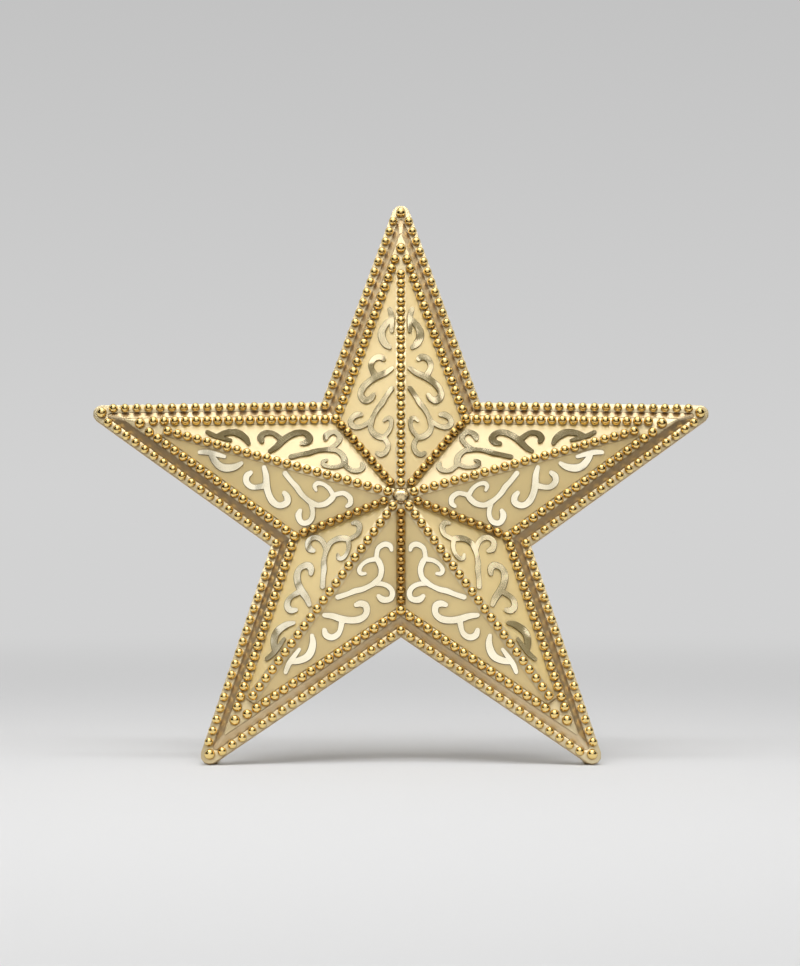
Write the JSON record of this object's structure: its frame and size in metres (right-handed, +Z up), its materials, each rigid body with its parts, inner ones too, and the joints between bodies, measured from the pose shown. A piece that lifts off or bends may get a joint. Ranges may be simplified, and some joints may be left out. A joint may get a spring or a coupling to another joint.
{
  "type": "christmas star ornament",
  "caption": "Free-standing pointed holiday star in gold sheet metal, with folded faceted arms, rows of round beads along its edges, ridges and valleys, and scroll plates.",
  "frame": {"origin": "on the ground, below the middle of the whole object's box", "axes": "+X to the star's right as seen from the front, +Y rearward, +Z up; the star faces -Y and leans back 19 degrees"},
  "size_m": [0.3014, 0.0986, 0.2722],
  "materials": {
    "satin_gold": "satin pale gold sheet, softly reflecting",
    "polished_bead": "polished rich gold beads with darker recesses",
    "polished_scroll": "polished pale plating, nearly mirror bright",
    "foot_strap": "plain satin strap"
  },
  "bodies": {
    "root": {"rim_frame": "satin_gold", "back_cover": "satin_gold", "apex_cap": "satin_gold", "arm_shell_top": "satin_gold", "arm_shell_left": "satin_gold", "arm_shell_lower_left": "satin_gold", "arm_shell_lower_right": "satin_gold", "arm_shell_right": "satin_gold", "outer_bead_strip_top": "polished_bead", "outer_bead_strip_left": "polished_bead", "outer_bead_strip_lower_left": "polished_bead", "outer_bead_strip_lower_right": "polished_bead", "outer_bead_strip_right": "polished_bead", "inner_bead_strip_top": "polished_bead", "inner_bead_strip_left": "polished_bead", "inner_bead_strip_lower_left": "polished_bead", "inner_bead_strip_lower_right": "polished_bead", "inner_bead_strip_right": "polished_bead", "ridge_bead_strip_top": "polished_bead", "ridge_bead_strip_left": "polished_bead", "ridge_bead_strip_lower_left": "polished_bead", "ridge_bead_strip_lower_right": "polished_bead", "ridge_bead_strip_right": "polished_bead", "valley_bead_strip_upper_left": "polished_bead", "valley_bead_strip_lower_left": "polished_bead", "valley_bead_strip_bottom": "polished_bead", "valley_bead_strip_lower_right": "polished_bead", "valley_bead_strip_upper_right": "polished_bead", "scroll_small_top_left": "polished_scroll", "scroll_small_top_right": "polished_scroll", "scroll_small_left_left": "polished_scroll", "scroll_small_left_right": "polished_scroll", "scroll_small_lower_left_left": "polished_scroll", "scroll_small_lower_left_right": "polished_scroll", "scroll_small_lower_right_left": "polished_scroll", "scroll_small_lower_right_right": "polished_scroll", "scroll_small_right_left": "polished_scroll", "scroll_small_right_right": "polished_scroll", "scroll_middle_top_left": "polished_scroll", "scroll_middle_top_right": "polished_scroll", "scroll_middle_left_left": "polished_scroll", "scroll_middle_left_right": "polished_scroll", "scroll_middle_lower_left_left": "polished_scroll", "scroll_middle_lower_left_right": "polished_scroll", "scroll_middle_lower_right_left": "polished_scroll", "scroll_middle_lower_right_right": "polished_scroll", "scroll_middle_right_left": "polished_scroll", "scroll_middle_right_right": "polished_scroll", "scroll_large_top_left": "polished_scroll", "scroll_large_top_right": "polished_scroll", "scroll_large_left_left": "polished_scroll", "scroll_large_left_right": "polished_scroll", "scroll_large_lower_left_left": "polished_scroll", "scroll_large_lower_left_right": "polished_scroll", "scroll_large_lower_right_left": "polished_scroll", "scroll_large_lower_right_right": "polished_scroll", "scroll_large_right_left": "polished_scroll", "scroll_large_right_right": "polished_scroll", "rear_foot_left": "foot_strap", "rear_foot_right": "foot_strap"}
  },
  "joints": []
}
